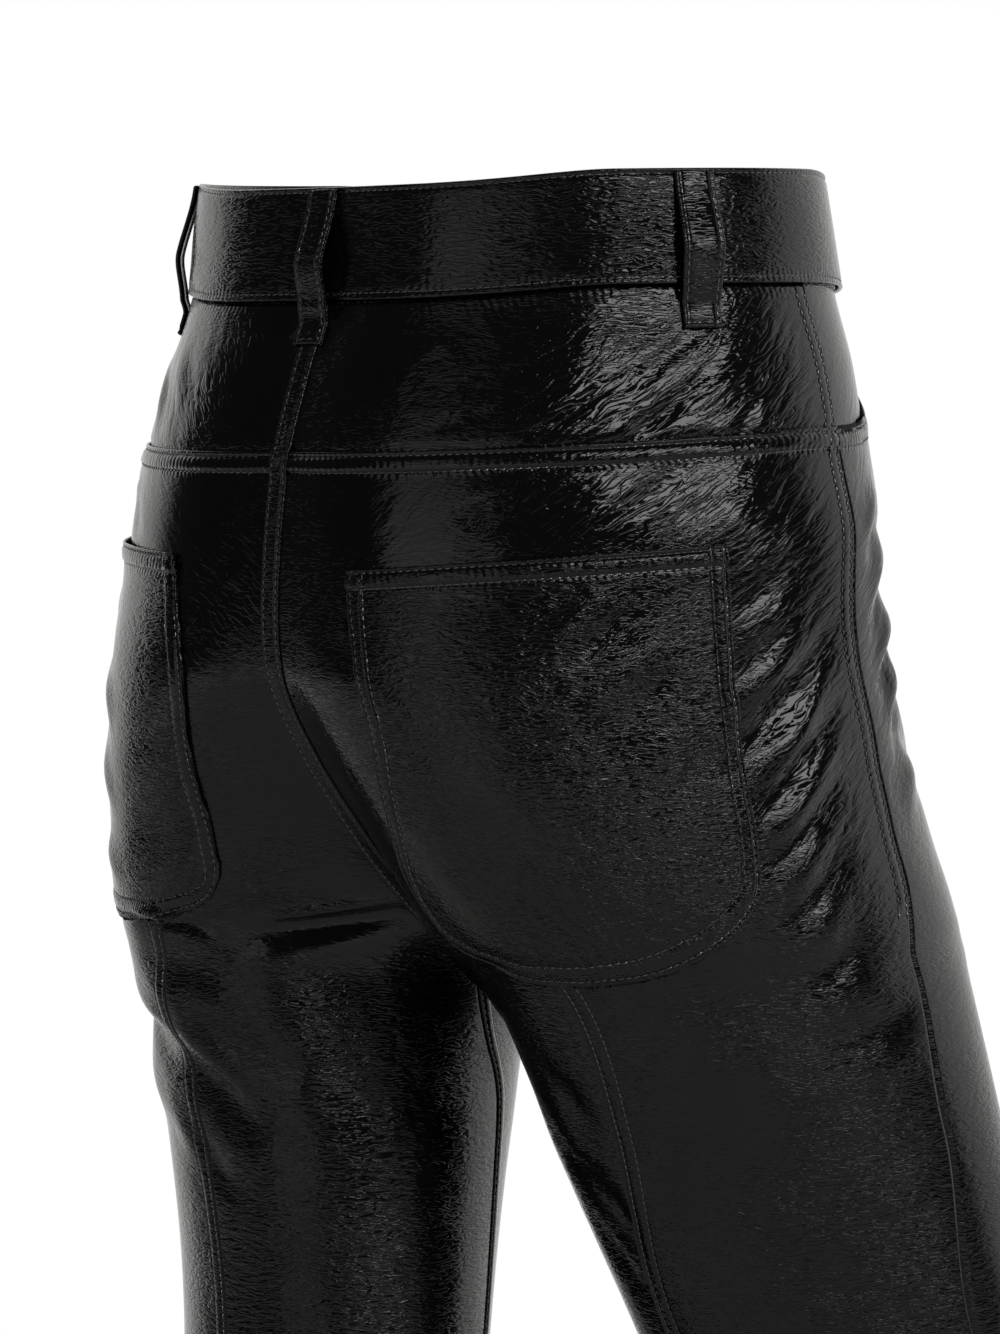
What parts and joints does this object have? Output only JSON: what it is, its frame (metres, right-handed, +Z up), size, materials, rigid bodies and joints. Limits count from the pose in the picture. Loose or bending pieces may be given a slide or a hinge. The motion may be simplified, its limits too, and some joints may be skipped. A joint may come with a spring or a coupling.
{
  "type": "vinyl trousers",
  "caption": "High-waisted trousers in black patent vinyl, hollow as worn with one leg a step ahead, with a yoke, patch and scoop pockets, belt loops and a fly.",
  "frame": {"origin": "the middle of the waistband, where the wearer's waist holds it", "axes": "+Z up, the front faces -Y, the wearer's left is +X"},
  "size_m": [0.3572, 0.3606, 1.0624],
  "materials": {
    "vinyl": "high-gloss patent vinyl",
    "button_metal": "black, polished"
  },
  "bodies": {
    "root": {"waistband": "vinyl", "yoke_left": "vinyl", "back_leg_left": "vinyl", "front_leg_left": "vinyl", "hip_piece_left": "vinyl", "back_pocket_left": "vinyl", "yoke_right": "vinyl", "back_leg_right": "vinyl", "front_leg_right": "vinyl", "hip_piece_right": "vinyl", "back_pocket_right": "vinyl", "belt_loop_centre_back": "vinyl", "belt_loop_back_right": "vinyl", "belt_loop_back_left": "vinyl", "belt_loop_front_right": "vinyl", "belt_loop_front_left": "vinyl", "fly_flap": "vinyl", "waist_button": "button_metal"}
  },
  "joints": []
}
